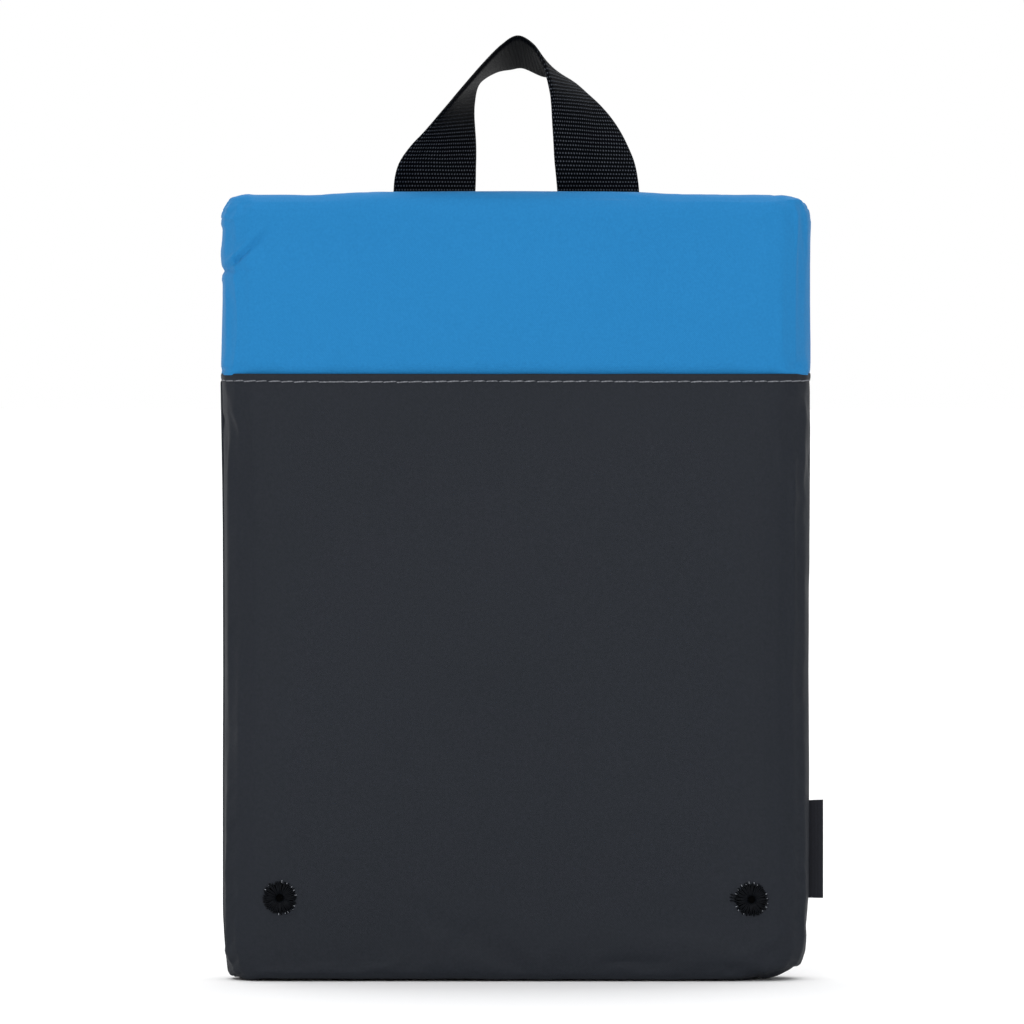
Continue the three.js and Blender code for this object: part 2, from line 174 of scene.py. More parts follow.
def cutAt(skin, height, normal=(0, 0, 1), clear=False):
    # a straight cut right round the skin; clear takes away what is beyond it
    pickOnly(skin)
    bpy.ops.object.mode_set(mode="EDIT")
    bpy.ops.mesh.select_all(action="SELECT")
    bpy.ops.mesh.bisect(plane_co=(0, 0, height), plane_no=normal, clear_outer=clear)
    bpy.ops.object.mode_set(mode="OBJECT")


def smoothInside(skin, size, times):
    # takes out the facets of the solids, and leaves the open mouth where it is
    group = skin.vertex_groups.new(name="smooth")
    for point in skin.data.vertices:
        near = size["mouth"] + size["spare"] - point.co.z if "mouth" in size else 1
        group.add([point.index], min(1, max(0, near / (3 * size["grid"]))), "REPLACE")
    applyModifier(skin, "SMOOTH", factor=0.5, iterations=times, vertex_group="smooth")
    skin.vertex_groups.clear()


def readPoints(piece, what="co"):
    values = np.empty(len(piece.data.vertices) * 3, dtype=np.float32)
    piece.data.vertices.foreach_get(what, values)
    return values.reshape(-1, 3).astype(float)


def writePoints(piece, points):
    piece.data.vertices.foreach_set("co", points.astype(np.float32).ravel())
    piece.data.update()


def relaxCloth(skin, cloth, held, reach):
    # the cloth grows a little against its held stretches and buckles; reach(point) caps the movement
    start = readPoints(skin)
    normals = readPoints(skin, "normal")
    uneven = np.array([noise.noise(Vector(p) * cloth["unevenScale"]) for p in start])
    writePoints(skin, start + normals * (uneven * cloth["unevenness"])[:, None])
    group = skin.vertex_groups.new(name="held")
    for index, point in enumerate(start):
        group.add([index], held(point), "REPLACE")
    modifier = skin.modifiers.new("Cloth", "CLOTH")
    settings = modifier.settings
    settings.quality = cloth["quality"]
    settings.mass = cloth["mass"]
    settings.tension_stiffness = settings.compression_stiffness = cloth["stiffness"]
    settings.shear_stiffness = cloth["stiffness"] / 2
    settings.bending_stiffness = cloth["bending"]
    settings.shrink_min = -cloth["growth"]
    settings.vertex_group_mass = "held"
    settings.use_pressure = cloth["pressure"] > 0
    settings.uniform_pressure_force = cloth["pressure"]
    settings.effector_weights.gravity = 0
    modifier.collision_settings.use_collision = False
    modifier.point_cache.frame_end = cloth["frames"]
    for step in range(1, cloth["frames"] + 1):
        bpy.context.scene.frame_set(step)
    pickOnly(skin)
    bpy.ops.object.modifier_apply(modifier=modifier.name)
    bpy.context.scene.frame_set(1)
    skin.vertex_groups.clear()
    moved = readPoints(skin) - start
    length = np.linalg.norm(moved, axis=1)
    limit = np.array([reach(point) for point in start])
    print(f"  {skin.name} moved {length.mean() / mm:.2f} mm on average, {length.max() / mm:.2f} mm at most")
    share = limit * np.tanh(length / np.maximum(limit, 1e-6)) / np.maximum(length, 1e-9)
    writePoints(skin, start + moved * share[:, None])


# how the outline is fitted: step and half width of a row, and the stretches over which each shift sets in
fit = {
    "row": 0.8 * mm, "rowHalf": 0.65 * mm, "sides": (56 * mm, 82 * mm),
    "column": 1 * mm, "columnHalf": 0.9 * mm, "crown": (222 * mm, 236 * mm),
    "rays": 28, "rayHalf": math.radians(2.5), "rim": (0.6, 0.95), "ends": 0.2,
}


def fitSides(skin, rows, margin=(0, 0)):
    # draws both sides in or out until the outline seen from the front is the table's; rows: z, left, right in mm
    table = np.array(rows) * mm
    points = readPoints(skin)
    heights = np.arange(table[0, 0], table[-1, 0], fit["row"])
    for side, column in ((-1, 1), (1, 2), (-1, 1), (1, 2)):
        out = points[:, 0] * side
        reach = np.array([out[np.abs(points[:, 2] - z) < fit["rowHalf"]].max() for z in heights])
        shift = np.interp(heights, table[:, 0], table[:, column]) - margin[column - 1] - reach
        points[:, 0] += side * np.interp(points[:, 2], heights, shift) * softStep(*fit["sides"], out)
    writePoints(skin, points)


def fitCrown(skin, columns, drop=0):
    # lifts or lowers the crown to the table's outline; columns: x, z in mm
    table = np.array(columns) * mm
    points = readPoints(skin)
    places = np.arange(table[0, 0], table[-1, 0], fit["column"])
    top = np.array([points[np.abs(points[:, 0] - x) < fit["columnHalf"], 2].max() for x in places])
    shift = np.interp(places, table[:, 0], table[:, 1]) - drop - top
    points[:, 2] += np.interp(points[:, 0], places, shift) * softStep(*fit["crown"], points[:, 2])
    writePoints(skin, points)


def fitCorner(skin, middle, outline):
    # draws one corner in or out, seen from the front, to the outline's rounding; middle and outline: x, z in mm
    middle = np.array(middle) * mm
    facing = np.sign((np.array(outline[0]) + outline[-1]) * mm / 2 - middle)
    target = (np.array(outline) * mm - middle) * facing
    order = np.argsort(np.arctan2(target[:, 1], target[:, 0]))
    target = target[order]
    turns, radii = np.arctan2(target[:, 1], target[:, 0]), np.hypot(target[:, 0], target[:, 1])
    places = np.linspace(turns[0], turns[-1], fit["rays"])
    for attempt in range(2):  # the second time takes up what the first leaves
        points = readPoints(skin)
        away = (points[:, [0, 2]] - middle) * facing
        turn, radius = np.arctan2(away[:, 1], away[:, 0]), np.hypot(away[:, 0], away[:, 1])
        reach = np.array([radius[np.abs(turn - place) < fit["rayHalf"]].max() for place in places])
        scale = np.interp(turn, places, np.interp(places, turns, radii) / reach)
        share = softStep(*fit["rim"], radius / np.interp(turn, places, reach))
        share *= softStep(turns[0], turns[0] + fit["ends"], turn)
        share *= 1 - softStep(turns[-1] - fit["ends"], turns[-1], turn)
        points[:, [0, 2]] += (away * ((scale - 1) * share)[:, None]) * facing
        writePoints(skin, points)


def foldDepth(crease, x, z):
    # one crease or swell: a soft hollow, with a low ridge on one side where it is sharp. Its row: x, z of the
    # middle, half length and half width, all in mm, turn in degrees, depth in mm (outward above 0), share of ridge
    middleX, middleZ, halfLong, halfWide, degrees, deep, ridge = crease
    turn = math.radians(degrees)
    dx, dz = x - middleX * mm, z - middleZ * mm
    along = (dx * math.cos(turn) + dz * math.sin(turn)) / (halfLong * mm)
    across = (dz * math.cos(turn) - dx * math.sin(turn)) / (halfWide * mm)
    shape = np.exp(-across * across) - ridge * np.exp(-((across - 2) ** 2))
    return deep * mm * shape * np.exp(-along * along)


def pressFolds(skin, folds, facing):
    points, normals = readPoints(skin), readPoints(skin, "normal")
    share = np.clip((normals[:, 1] * facing - 0.1) / 0.6, 0, 1)
    depth = sum(foldDepth(crease, points[:, 0], points[:, 2]) for crease in folds)
    writePoints(skin, points + normals * (depth * share)[:, None])


print("helpers ready")


# Materials

def linear(hexText):
    def channel(value):
        value /= 255
        return value / 12.92 if value <= 0.04045 else ((value + 0.055) / 1.055) ** 2.4
    return tuple(channel(int(hexText[i:i + 2], 16)) for i in (1, 3, 5)) + (1,)


def addNode(tree, kind, settings=None, links=None):
    # settings are the node's own choices; links are input values, nodes or (node, output) pairs
    node = tree.nodes.new("ShaderNode" + kind)
    for key, value in (settings or {}).items():
        if key == "stops":
            elements = node.color_ramp.elements
            while len(elements) < len(value):
                elements.new(0.5)
            for element, (place, colour) in zip(elements, value):
                element.position, element.color = place, colour
        else:
            setattr(node, key, value)
    for key, value in (links or {}).items():
        if isinstance(value, bpy.types.Node):
            value = (value, 0)
        if isinstance(value, tuple) and isinstance(value[0], bpy.types.Node):
            tree.links.new(value[0].outputs[value[1]], node.inputs[key])
        else:
            node.inputs[key].default_value = value
    return node


def newMaterial(name, surface):
    material = bpy.data.materials.new(name)
    material.use_nodes = True
    tree = material.node_tree
    tree.nodes.clear()
    shader = addNode(tree, "BsdfPrincipled", links=surface)
    addNode(tree, "OutputMaterial", links={"Surface": (shader, "BSDF")})
    return material, tree, shader


def weaveHeight(tree, across, along, pitch):
    # plain weave: warp and weft crowns in turn, from two crossed sines
    waves = []
    for place in (across, along):
        phase = addNode(tree, "Math", {"operation": "MULTIPLY"}, {0: place, 1: 2 * math.pi / pitch})
        waves.append(addNode(tree, "Math", {"operation": "SINE"}, {0: phase}))
    crossed = addNode(tree, "Math", {"operation": "MULTIPLY"}, {0: waves[0], 1: waves[1]})
    return addNode(tree, "Math", {"operation": "MULTIPLY_ADD"}, {0: crossed, 1: 0.5, 2: 0.5})


def clothMaterial(name, spec):
    # woven nylon on Object coordinates: threads run up the height and round the girth
    material, tree, shader = newMaterial(name, {
        "Roughness": spec["roughness"],
        "IOR": 1.53,
        "Specular IOR Level": spec["specular"],
        "Sheen Weight": spec["sheen"],
        "Sheen Roughness": 0.45,
    })
    place = (addNode(tree, "TexCoord"), "Object")
    parts = addNode(tree, "SeparateXYZ", links={"Vector": place})
    width = addNode(tree, "Math", {"operation": "ABSOLUTE"}, {0: (parts, "X")})
    girth = addNode(tree, "Math", {"operation": "ADD"}, {0: width, 1: (parts, "Y")})
    wander = addNode(tree, "TexNoise", links={"Vector": place, "Scale": 90.0, "Detail": 2.0})
    shift = addNode(tree, "Math", {"operation": "MULTIPLY"}, {0: (wander, "Fac"), 1: spec["thread"] * 0.9})
    across = addNode(tree, "Math", {"operation": "ADD"}, {0: girth, 1: shift})
    along = addNode(tree, "Math", {"operation": "ADD"}, {0: (parts, "Z"), 1: shift})
    weave = weaveHeight(tree, across, along, spec["thread"])
    mottle = addNode(tree, "TexNoise", links={
        "Vector": place, "Scale": spec["mottleScale"], "Detail": 4.0, "Roughness": 0.6,
    })
    cloud = addNode(tree, "TexNoise", links={"Vector": place, "Scale": 16.0, "Detail": 3.0})
    tone = addNode(tree, "Math", {"operation": "MULTIPLY_ADD"}, {0: weave, 1: spec["weaveTone"], 2: (mottle, "Fac")})
    tone = addNode(tree, "Math", {"operation": "MULTIPLY_ADD"}, {0: (cloud, "Fac"), 1: 0.3, 2: tone})
    tone = addNode(tree, "Math", {"operation": "MULTIPLY"}, {0: tone, 1: 0.6})
    stops = [(0.25, linear(spec["dark"])), (0.5, linear(spec["base"])), (0.75, linear(spec["light"]))]
    colour = addNode(tree, "ValToRGB", {"stops": stops}, {"Fac": tone})
    tree.links.new(colour.outputs["Color"], shader.inputs["Base Color"])
    crumple = addNode(tree, "TexNoise", links={
        "Vector": place, "Scale": spec["crumpleScale"], "Detail": 5.0, "Roughness": 0.55,
    })
    soft = addNode(tree, "Bump", links={
        "Height": (crumple, "Fac"), "Strength": spec["crumple"], "Distance": 0.4 * mm,
    })
    fine = addNode(tree, "Bump", links={
        "Height": weave, "Strength": spec["weaveBump"], "Distance": 0.08 * mm, "Normal": (soft, "Normal"),
    })
    tree.links.new(fine.outputs["Normal"], shader.inputs["Normal"])
    return material


# Nylon coated with polyurethane, calendered: dark and slightly satin, the weave only just shows
coatedNylon = clothMaterial("coated nylon", {
    "dark": "#1d2126", "base": "#22252b", "light": "#272a30", "roughness": 0.6, "specular": 0.09, "sheen": 0.0,
    "thread": 0.5 * mm, "weaveTone": 0.2, "weaveBump": 0.35, "mottleScale": 1100.0, "crumpleScale": 110.0,
    "crumple": 0.16,
})
# Plain-weave nylon taffeta, dyed blue: even, matte, with fine darker specks between the threads
blueTaffeta = clothMaterial("blue nylon taffeta", {
    "dark": "#196ea6", "base": "#1d75ae", "light": "#237bb5", "roughness": 0.7, "specular": 0.12, "sheen": 0.07,
    "thread": 0.55 * mm, "weaveTone": 0.25, "weaveBump": 0.4, "mottleScale": 1300.0, "crumpleScale": 80.0,
    "crumple": 0.12,
})


def webbingMaterial(name, spec):
    # woven belting on its own UV map, in metres: ribs across, with each float raised in turn; the raised floats are
    # coloured lighter as painted highlight and the gaps between them darker as painted shade
    material, tree, shader = newMaterial(name, {
        "Roughness": spec["roughness"],
        "IOR": 1.5,
        "Specular IOR Level": spec["specular"],
    })
    uv = addNode(tree, "UVMap", {"uv_map": "cloth"})
    parts = addNode(tree, "SeparateXYZ", links={"Vector": uv})
    row = addNode(tree, "Math", {"operation": "MULTIPLY"}, {0: (parts, "Y"), 1: 1 / spec["rib"]})
    whole = addNode(tree, "Math", {"operation": "FLOOR"}, {0: row})
    odd = addNode(tree, "Math", {"operation": "PINGPONG"}, {0: whole, 1: 1.0})
    column = addNode(tree, "Math", {"operation": "MULTIPLY"}, {0: (parts, "X"), 1: 1 / spec["float"]})
    column = addNode(tree, "Math", {"operation": "MULTIPLY_ADD"}, {0: odd, 1: 0.5, 2: column})
    crowns = []
    for place in (row, column):
        wave = addNode(tree, "Math", {"operation": "PINGPONG"}, {0: place, 1: 0.5})
        wave = addNode(tree, "Math", {"operation": "MULTIPLY"}, {0: wave, 1: math.pi})
        crowns.append(addNode(tree, "Math", {"operation": "SINE"}, {0: wave}))
    dot = addNode(tree, "Math", {"operation": "MULTIPLY_ADD"}, {0: crowns[1], 1: 0.6, 2: 0.4})
    height = addNode(tree, "Math", {"operation": "MULTIPLY"}, {0: crowns[0], 1: dot})
    fuzz = addNode(tree, "TexNoise", links={"Vector": uv, "Scale": 1400.0, "Detail": 3.0})
    tone = addNode(tree, "Math", {"operation": "MULTIPLY_ADD"}, {0: (fuzz, "Fac"), 1: 0.35, 2: height})
    # along the strap: where it bends, how far it stays plain, where the floats are full; the plain stretch round the
    # bend is coloured darker, as painted shade
    middle, flat, full = spec["bend"]
    away = addNode(tree, "Math", {"operation": "SUBTRACT"}, {0: (parts, "Y"), 1: middle})
    away = addNode(tree, "Math", {"operation": "ABSOLUTE"}, {0: away})
    lift = addNode(tree, "MapRange", links={0: away, 1: flat, 2: full, 3: 0.44, 4: 0.75})
    tone = addNode(tree, "Math", {"operation": "MULTIPLY"}, {0: tone, 1: lift})
    # painted highlight on the float crowns, painted shade in the gaps and round the bend
    stops = [(0.35, linear(spec["dark"])), (0.68, linear(spec["base"])), (0.9, linear(spec["light"]))]
    colour = addNode(tree, "ValToRGB", {"stops": stops}, {"Fac": tone})
    tree.links.new(colour.outputs["Color"], shader.inputs["Base Color"])
    bump = addNode(tree, "Bump", links={"Height": tone, "Strength": spec["bump"], "Distance": 0.3 * mm})
    tree.links.new(bump.outputs["Normal"], shader.inputs["Normal"])
    return material


# Polypropylene webbing, woven in ribs: black, with small grey floats where the yarn comes up as painted highlights,
# and darker and plainer round the bend as painted shade
blackWebbing = webbingMaterial("black polypropylene webbing", {
    "dark": "#030406", "base": "#090b10", "light": "#4c5057", "roughness": 0.5, "specular": 0.012,
    "rib": 1.22 * mm, "float": 0.86 * mm, "bump": 0.8, "bend": (-9 * mm, 6 * mm, 24 * mm),
})
# Damask label tape: black with a navy cast, ribbed much finer than the webbing, with its rib crowns lighter as
# painted highlight
labelTape = webbingMaterial("woven label tape", {
    "dark": "#101116", "base": "#181a21", "light": "#25272f", "roughness": 0.6, "specular": 0.15,
    "rib": 0.45 * mm, "float": 0.35 * mm, "bump": 0.35, "bend": (-1, 0, 1 * mm),
})


def threadMaterial(name, hexText, roughness, specular):
    # twisted polyester thread: fine slanting streaks along each strand
    material, tree, shader = newMaterial(name, {"Roughness": roughness, "Specular IOR Level": specular})
    place = (addNode(tree, "TexCoord"), "Object")
    streaks = addNode(tree, "TexNoise", links={"Vector": place, "Scale": 2600.0, "Detail": 2.0})
    dark = tuple(c * 0.6 for c in linear(hexText)[:3]) + (1,)
    light = tuple(min(1, c * 1.7) for c in linear(hexText)[:3]) + (1,)
    stops = [(0.3, dark), (0.5, linear(hexText)), (0.72, light)]
    colour = addNode(tree, "ValToRGB", {"stops": stops}, {"Fac": (streaks, "Fac")})
    tree.links.new(colour.outputs["Color"], shader.inputs["Base Color"])
    bump = addNode(tree, "Bump", links={"Height": (streaks, "Fac"), "Strength": 0.5, "Distance": 0.05 * mm})
    tree.links.new(bump.outputs["Normal"], shader.inputs["Normal"])
    return material


blackThread = threadMaterial("black embroidery thread", "#07090d", 0.55, 0.07)
greyThread = threadMaterial("grey topstitch thread", "#686a6f", 0.7, 0.2)
# Near-black felt under the eyelet thread and in its blind hole: painted shade of the hole and of the gaps between the
# threads, takes nearly all the light
holeShadeFelt = newMaterial("painted hole shade", {
    "Base Color": linear("#060606"), "Roughness": 0.95, "Specular IOR Level": 0.02,
})[0]
# pale specks for the eyelet rims: painted glints
paintedGlints = threadMaterial("painted rim glints", "#7c7f85", 0.8, 0.1)
print("materials ready")


# The sleeve: two coated panels sewn down the sides, drawn tight over the folded pack

sleeve = {
    "grid": 2.35 * mm, "margin": 0.4 * mm, "corner": 11 * mm, "smooth": 3,
    "mouth": 182.6 * mm, "spare": 1 * mm, "held": 4 * mm, "wall": 1.1 * mm, "wrap": 6 * mm,
    "seam": (0.5 * mm, 0.0), "lift": (0.55 * mm, 0.1 * mm),
}
sleeveCloth = {
    "growth": 0.02, "pressure": 0.0, "frames": 18, "quality": 5, "mass": 0.1, "bending": 0.02, "stiffness": 8.0,
    "unevenness": 0.25 * mm, "unevenScale": 120.0,
}
sleeveFolds = [
    (-80, 14, 14, 2.2, 62, 0.3, 0),
    (80, 9.5, 10, 1.8, 26, -0.4, 0.5),
    (86, 15.7, 5, 0.9, -30, -0.4, 0.6),
    (84, 24, 8, 1.6, -62, -0.3, 0.5),
    (-20, 120, 60, 16, 14, 0.25, 0),
    (35, 70, 50, 9, -18, -0.22, 0),
    (-45, 60, 30, 8, 38, -0.18, 0),
    (55, 140, 34, 9, -50, 0.2, 0),
    (10, 168, 60, 7, 3, -0.15, 0),
]
# the seam gathers the cloth: short slanting puckers along it, deeper towards the base
sleevePuckers = {"pitch": 7.5, "low": 6, "high": 176, "x": 86.2, "along": 3.6, "across": 0.95, "deep": 0.5, "ridge": 0.7}
# outline from the front in mm: z, left, right
sleeveOutline = [
    (0, 86.8, 76), (1, 87.4, 79), (2.3, 87.9, 82.9), (4.1, 88.05, 86.8), (6, 88.3, 87.8), (8, 88.5, 88.2),
    (11.4, 88.8, 88.7), (13.5, 88.95, 88.8), (15.7, 89.05, 88.6), (18.8, 89.25, 88.9), (22.4, 89.3, 89.2),
    (26, 89.3, 89.5), (64, 89.3, 89.6), (94, 89.2, 89.4), (123, 89.25, 89.6), (138, 89.3, 89.75),
    (152, 89.45, 89.85), (167, 89.7, 89.9), (180, 89.9, 89.75), (183, 89.95, 89.55),
]
# its two lower corners, the right one cut off slantwise: x, z of the middle, then of the outline
sleeveCorners = [
    ((-77, 11), [
        (-88.8, 11), (-88.3, 7), (-88, 4.6), (-87.9, 3.2), (-87.75, 2.1), (-87.3, 1.1), (-86.2, 0.45), (-84, 0.1),
        (-77, 0),
    ]),
    ((74, 12), [
        (88.7, 12), (88, 7), (87.5, 5.4), (87.15, 4.6), (86.7, 3.9), (85, 3.2), (82.5, 2.05), (80.3, 0.95),
        (78, 0.3), (74, 0),
    ]),
]


def seamPuckers(spec):
    made, z = [], spec["low"]
    while z < spec["high"]:
        low = 1 - 0.7 * softStep(40, 90, z)
        for side in (-1, 1):
            made.append((
                side * (spec["x"] + random.uniform(-0.6, 0.6)), z + random.uniform(-1, 1),
                spec["along"] * random.uniform(0.7, 1.3), spec["across"] * random.uniform(0.7, 1.4),
                side * -random.uniform(48, 68), -spec["deep"] * low * random.uniform(0.5, 1.2), spec["ridge"],
            ))
        z += spec["pitch"] * random.uniform(0.7, 1.3)
    return made


def edgeReach(point):
    # wrinkles run free along the seams and corners, and fade out over the flat faces
    x, y, z = point
    side = softStep(66 * mm, 88 * mm, abs(x))
    foot = 1 - softStep(8 * mm, 30 * mm, z)
    return (0.15 + 0.75 * max(side, 0.7 * foot)) * mm * (1 - softStep(170 * mm, 182 * mm, z))


def liftFoot(skin):
    # the front edge of the base is turned up a little, more at the left than at the right
    points = readPoints(skin)
    share = softStep(4 * mm, 12 * mm, -points[:, 1]) * (1 - softStep(0.5 * mm, 6 * mm, points[:, 2]))
    points[:, 2] += share * np.interp(points[:, 0], [-86 * mm, 70 * mm], sleeve["lift"])
    writePoints(skin, points)


def buildSleeve():
    skin = clothSkin("sleeveSkin", ["sleeve_front_panel", "sleeve_back_panel", "mouth_hem"], sleeve)
    free = (1 * mm, sleeve["mouth"] - sleeve["held"])
    relaxCloth(skin, sleeveCloth, lambda p: 0.0 if free[0] <= p[2] <= free[1] else 1.0, edgeReach)
    cutAt(skin, 0, normal=(0, 1, 0))
    cutAt(skin, sleeve["wrap"])
    applyModifier(skin, "SUBSURF", levels=1, render_levels=1)
    fitSides(skin, sleeveOutline, sleeve["seam"])
    for middle, outline in sleeveCorners:
        fitCorner(skin, middle, outline)
    liftFoot(skin)
    pressFolds(skin, sleeveFolds + seamPuckers(sleevePuckers), -1)
    pressFolds(skin, seamPuckers(sleevePuckers), 1)
    cutAt(skin, sleeve["mouth"], clear=True)
    return skin


def mouthLoop(skin):
    # the open edge of the skin, in order round the mouth
    shape = bmesh.new()
    shape.from_mesh(skin.data)
    rim = [edge for edge in shape.edges if edge.is_boundary]
    start = rim[0].verts[0]
    loop, last = [start.co.copy()], None
    here = start
    while True:
        step = next(e for e in here.link_edges if e.is_boundary and e is not last)
        here, last = step.other_vert(here), step
        if here is start:
            break
        loop.append(here.co.copy())
    shape.free()
    turn = sum(a.x * b.y - b.x * a.y for a, b in zip(loop, loop[1:] + loop[:1]))
    return loop if turn > 0 else loop[::-1]


def evenLoop(loop, step):
    # the same loop with points a fixed step apart
    lengths = [0]
    closed = loop + loop[:1]
    for a, b in zip(closed, closed[1:]):
        lengths.append(lengths[-1] + (b - a).length)
    count = round(lengths[-1] / step)
    points, index = [], 0
    for i in range(count):
        want = lengths[-1] * i / count
        while lengths[index + 1] < want:
            index += 1
        share = (want - lengths[index]) / (lengths[index + 1] - lengths[index])
        points.append(closed[index].lerp(closed[index + 1], share))
    return points, lengths[-1]


skin = buildSleeve()
mouth = mouthLoop(skin)
print("sleeve skin", len(skin.data.vertices))


def cutPanels(skin):
    editParts(
        skin, "FACE",
        lambda centre, normal: centre.y > 0 and centre.z > sleeve["wrap"],
        lambda: bpy.ops.mesh.separate(type="SELECTED"),
    )
    back = next(item for item in bpy.context.selected_objects if item is not skin)
    skin.name = skin.data.name = "sleeveFront"
    back.name = back.data.name = "sleeveBack"
    return skin, back


def cutEyeletHoles(front, radius):
    for side in (-1, 1):
        middle = eyeletPlace(side)
        editParts(
            front, "FACE",
            lambda centre, normal: normal.y < -0.5 and math.hypot(centre.x - middle.x, centre.z - middle.z) < radius,
            lambda: bpy.ops.mesh.delete(type="FACE"),
        )


def eyeletPlace(side):
    low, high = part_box("eyelet_left" if side < 0 else "eyelet_right")
    return Vector(((low.x + high.x) / 2, high.y - 1.2 * mm, (low.z + high.z) / 2 + (0.5 * mm if side < 0 else 0)))


# the sewn edges of the two panels, standing a little proud down each side
seam = {"low": 1.2, "high": 183.4, "step": 1.2, "width": 0.75, "deep": 1.3, "tuck": 1.6, "y": 0.7}


def buildSeams():
    table = np.array(sleeveOutline)
    section = [
        (-seam["tuck"], -0.5), (-0.35, -0.55), (0, -0.4), (0.1, 0), (0, 0.4), (-0.35, 0.55), (-seam["tuck"], 0.5),
    ]
    points, faces = [], []
    for side, column, out in ((-1, 1, -0.02), (1, 2, -0.15)):
        heights = np.arange(seam["low"], seam["high"], seam["step"])
        first = len(points)
        for z in heights:
            reach = np.interp(z, table[:, 0], table[:, column]) + out
            sway = 0.3 * noise.noise(Vector((z * 0.05, side, 3))) + 0.12 * noise.noise(Vector((z * 0.3, side, 9)))
            for x, y in section:
                points.append(Vector((side * (reach + x), seam["y"] + sway + y * seam["deep"], z)) * mm)
        size = len(section)
        for i in range(len(heights) - 1):
            for j in range(size):
                k = (j + 1) % size
                a, b = first + i * size, first + (i + 1) * size
                face = (a + j, a + k, b + k, b + j)
                faces.append(face if side > 0 else face[::-1])
        top = first + (len(heights) - 1) * size
        caps = [tuple(range(first, first + size)), tuple(range(top, top + size))]
        faces += [caps[0][::-1], caps[1]] if side > 0 else [caps[0], caps[1][::-1]]
    piece = newPiece("sideSeams", points, faces)
    applyModifier(piece, "SUBSURF", levels=1, render_levels=1)
    smoothShade(piece, 70)
    finishPiece(piece, [coatedNylon])
    return piece


sideSeams = buildSeams()
sleeveFront, sleeveBack = cutPanels(skin)
cutEyeletHoles(sleeveFront, 3.2 * mm)
for panel in (sleeveFront, sleeveBack):
    applyModifier(panel, "SOLIDIFY", thickness=sleeve["wall"], offset=-1)
    smoothShade(panel)
finishPiece(sleeveFront, [coatedNylon], ["sleeve_front_panel"])
finishPiece(sleeveBack, [coatedNylon], ["sleeve_back_panel"])
print("sleeve ready")


# The turned hem round the mouth and its topstitching

hem = {"step": 0.9 * mm, "stitchPitch": 3.9 * mm, "wave": 0.12 * mm, "pucker": 0.05 * mm}
# out and up from the panel's open edge, in mm, once round the folded hem
hemProfile = [
    (-0.2, -0.1), (0.12, -0.05), (0.28, 0.3), (0.36, 1.0), (0.34, 1.6), (0.24, 2.0), (-0.1, 2.25), (-0.75, 2.2),
    (-1.2, 1.9), (-1.4, 1.2), (-1.5, -0.5), (-1.55, -7.0), (-1.25, -7.0), (-1.22, -0.4), (-0.9, 0.0),
]


def buildHem():
    points, girth = evenLoop(mouth, hem["step"])
    count, size = len(points), len(hemProfile)
    rings, faces = [], []
    for i, point in enumerate(points):
        along = (points[(i + 1) % count] - points[i - 1]).normalized()
        out = Vector((along.y, -along.x, 0)).normalized()
        place = girth * i / count
        wave = hem["wave"] * noise.noise(point * 60)
        pucker = hem["pucker"] * math.sin(2 * math.pi * place / hem["stitchPitch"])
        for outward, up in hemProfile:
            puff = pucker if 0.3 < up < 2 and outward > 0 else 0
            rings.append(point + out * (outward * mm + puff) + Vector((0, 0, up * mm + (wave if up > 1 else 0))))
        for j in range(size):
            k = (j + 1) % size
            nextRing = (i + 1) % count * size
            faces.append((i * size + j, nextRing + j, nextRing + k, i * size + k))
    piece = newPiece("mouthHem", rings, faces)
    applyModifier(piece, "SUBSURF", levels=1, render_levels=1)
    smoothShade(piece, 80)
    finishPiece(piece, [coatedNylon], ["mouth_hem"])
    return piece


stitch = {
    "span": 3.6 * mm, "radius": 0.2 * mm, "rise": 0.34 * mm, "slant": 3, "waver": 0.3 * mm, "in": 0.12 * mm,
    "below": 0.1 * mm,
}


def archedStrand(name, radius, material):
    # one thread, 2 mm from end to end before it is scaled: a small ring spun through half a turn, then flattened
    bpy.ops.object.select_all(action="DESELECT")
    bpy.ops.mesh.primitive_circle_add(vertices=6, radius=radius, fill_type="NGON", location=(-1 * mm, 0, 0))
    strand = bpy.context.object
    strand.name = strand.data.name = name
    bpy.ops.object.transform_apply(location=True, rotation=True, scale=True)
    bpy.ops.object.mode_set(mode="EDIT")
    bpy.ops.mesh.select_all(action="SELECT")
    bpy.ops.mesh.spin(steps=8, angle=math.pi, center=(0, 0, 0), axis=(0, -1, 0))
    bpy.ops.mesh.select_all(action="SELECT")
    bpy.ops.mesh.normals_make_consistent(inside=False)
    bpy.ops.object.mode_set(mode="OBJECT")
    strand.data.materials.append(material)
    return strand


def placeCopy(shape, centre, along, out, up, stretch):
    # a copy with its own mesh, its x, y, z turned to along, up, out and scaled by stretch
    copy = shape.copy()
    copy.data = shape.data.copy()
    axes = Matrix((along * stretch[0], up * stretch[1], out * stretch[2])).transposed().to_4x4()
    copy.matrix_basis = Matrix.Translation(centre) @ axes
    bpy.context.scene.collection.objects.link(copy)
    return copy


def joinPieces(name, items):
    pickOnly(*items)
    bpy.ops.object.join()
    piece = bpy.context.view_layer.objects.active
    piece.name = piece.data.name = name
    bpy.ops.object.transform_apply(location=True, rotation=True, scale=True)
    return piece


